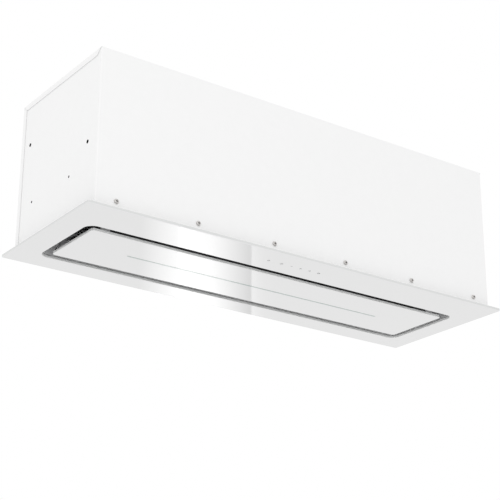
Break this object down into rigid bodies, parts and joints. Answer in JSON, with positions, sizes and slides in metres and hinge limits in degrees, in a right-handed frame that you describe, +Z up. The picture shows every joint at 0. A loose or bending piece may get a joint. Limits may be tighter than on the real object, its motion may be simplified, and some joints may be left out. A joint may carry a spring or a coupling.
{
  "type": "ceiling range hood",
  "caption": "Ceiling range hood with white glass bezel, hinged glass suction panel with light line, grease filters, centrifugal blower and round duct collar.",
  "frame": {"origin": "centre of the four suspension holes, on the outer face of the top plate", "axes": "+X along the hood to the end right of the touch keys as seen from the front, -Y to the side with the touch keys, +Z up towards the ceiling slab"},
  "size_m": [0.903, 0.302, 0.334],
  "materials": {
    "white_paint": "smooth satin powder coat",
    "white_glass": "back-painted toughened glass, polished",
    "bonding_tape": "acrylic foam tape",
    "zinc_steel": "zinc-coated sheet, fine spangle",
    "grey_paint": "grey powder coat",
    "dark_paint": "matt dark coat",
    "screw_steel": "plated steel",
    "filter_aluminium": "mill finish",
    "black_plastic": "moulded, fine texture",
    "spring_steel": "bright",
    "diffuser": "frosted, pale green",
    "circuit_board": "solder resist",
    "light_chip": "phosphor lens",
    "grey_plastic": "moulded",
    "motor_steel": "pressed steel",
    "copper": "enamelled copper",
    "rubber": "matt",
    "white_plastic": "moulded"
  },
  "bodies": {
    "casing": {"bezel_carrier": "zinc_steel", "bezel_glass": "white_glass", "bezel_tape": "bonding_tape", "blower_mounts": "rubber", "cable_gland": "black_plastic", "capacitor_clip": "zinc_steel", "carrier_screws": "screw_steel", "collar_screws": "screw_steel", "control_board": "circuit_board", "control_box": "zinc_steel", "control_lid": "zinc_steel", "discharge_box": "zinc_steel", "duct_collar": "zinc_steel", "filter_deck": "grey_paint", "flap_pin": "screw_steel", "front_shell": "white_paint", "hanger_rails": "zinc_steel", "hinge_brackets": "zinc_steel", "intake_throat": "grey_paint", "internal_leads": "black_plastic", "left_filter_frame": "filter_aluminium", "left_filter_mesh": "filter_aluminium", "left_latch_spring": "spring_steel", "left_scroll_cheek": "zinc_steel", "light_driver": "white_plastic", "motor_bearings": "spring_steel", "motor_bracket": "zinc_steel", "motor_front_shell": "motor_steel", "motor_rear_shell": "motor_steel", "motor_stator": "motor_steel", "motor_windings": "copper", "mouth_seal": "rubber", "panel_catches": "black_plastic", "rear_shell": "white_paint", "right_filter_frame": "filter_aluminium", "right_filter_mesh": "filter_aluminium", "right_latch_spring": "spring_steel", "right_scroll_cheek": "zinc_steel", "run_capacitor": "white_plastic", "scroll_wrap": "zinc_steel", "shell_rivets": "screw_steel", "terminal_block": "black_plastic", "touch_board": "circuit_board"},
    "door_panel": {"panel_glass": "white_glass", "panel_tape": "bonding_tape", "panel_tray": "dark_paint", "light_diffuser": "diffuser", "light_channel": "filter_aluminium", "light_strip": "circuit_board", "light_chips": "light_chip", "hinge_pins": "screw_steel", "strike_plates": "zinc_steel"},
    "blower_wheel": {"impeller": "grey_plastic", "impeller_hub": "filter_aluminium", "drive_shaft": "screw_steel", "motor_rotor": "motor_steel"},
    "front_flap": {"front_flap": "grey_plastic"},
    "rear_flap": {"rear_flap": "grey_plastic"},
    "left_latch": {"left_filter_latch": "black_plastic"},
    "right_latch": {"right_filter_latch": "black_plastic"}
  },
  "joints": [
    {"name": "panel_hinge", "type": "hinge", "parent": "casing", "child": "door_panel", "pos_m": [0, 0.08, -0.279], "axis": [1, 0, 0], "range_deg": [0, 90]},
    {"name": "wheel_spin", "type": "hinge", "parent": "casing", "child": "blower_wheel", "pos_m": [0, -0.036, -0.124], "axis": [1, 0, 0], "continuous": true},
    {"name": "front_flap_hinge", "type": "hinge", "parent": "casing", "child": "front_flap", "pos_m": [0, 0.022, 0.005], "axis": [-1, 0, 0], "range_deg": [0, 70]},
    {"name": "rear_flap_hinge", "type": "hinge", "parent": "casing", "child": "rear_flap", "pos_m": [0, 0.022, 0.005], "axis": [1, 0, 0], "range_deg": [0, 70]},
    {"name": "left_latch_slide", "type": "slide", "parent": "casing", "child": "left_latch", "axis": [0, 1, 0], "range_m": [0, 0.006], "stiffness_N_per_m": 400, "springref_m": -0.004, "deforming": ["left_latch_spring"]},
    {"name": "right_latch_slide", "type": "slide", "parent": "casing", "child": "right_latch", "axis": [0, 1, 0], "range_m": [0, 0.006], "stiffness_N_per_m": 400, "springref_m": -0.004, "deforming": ["right_latch_spring"]}
  ]
}
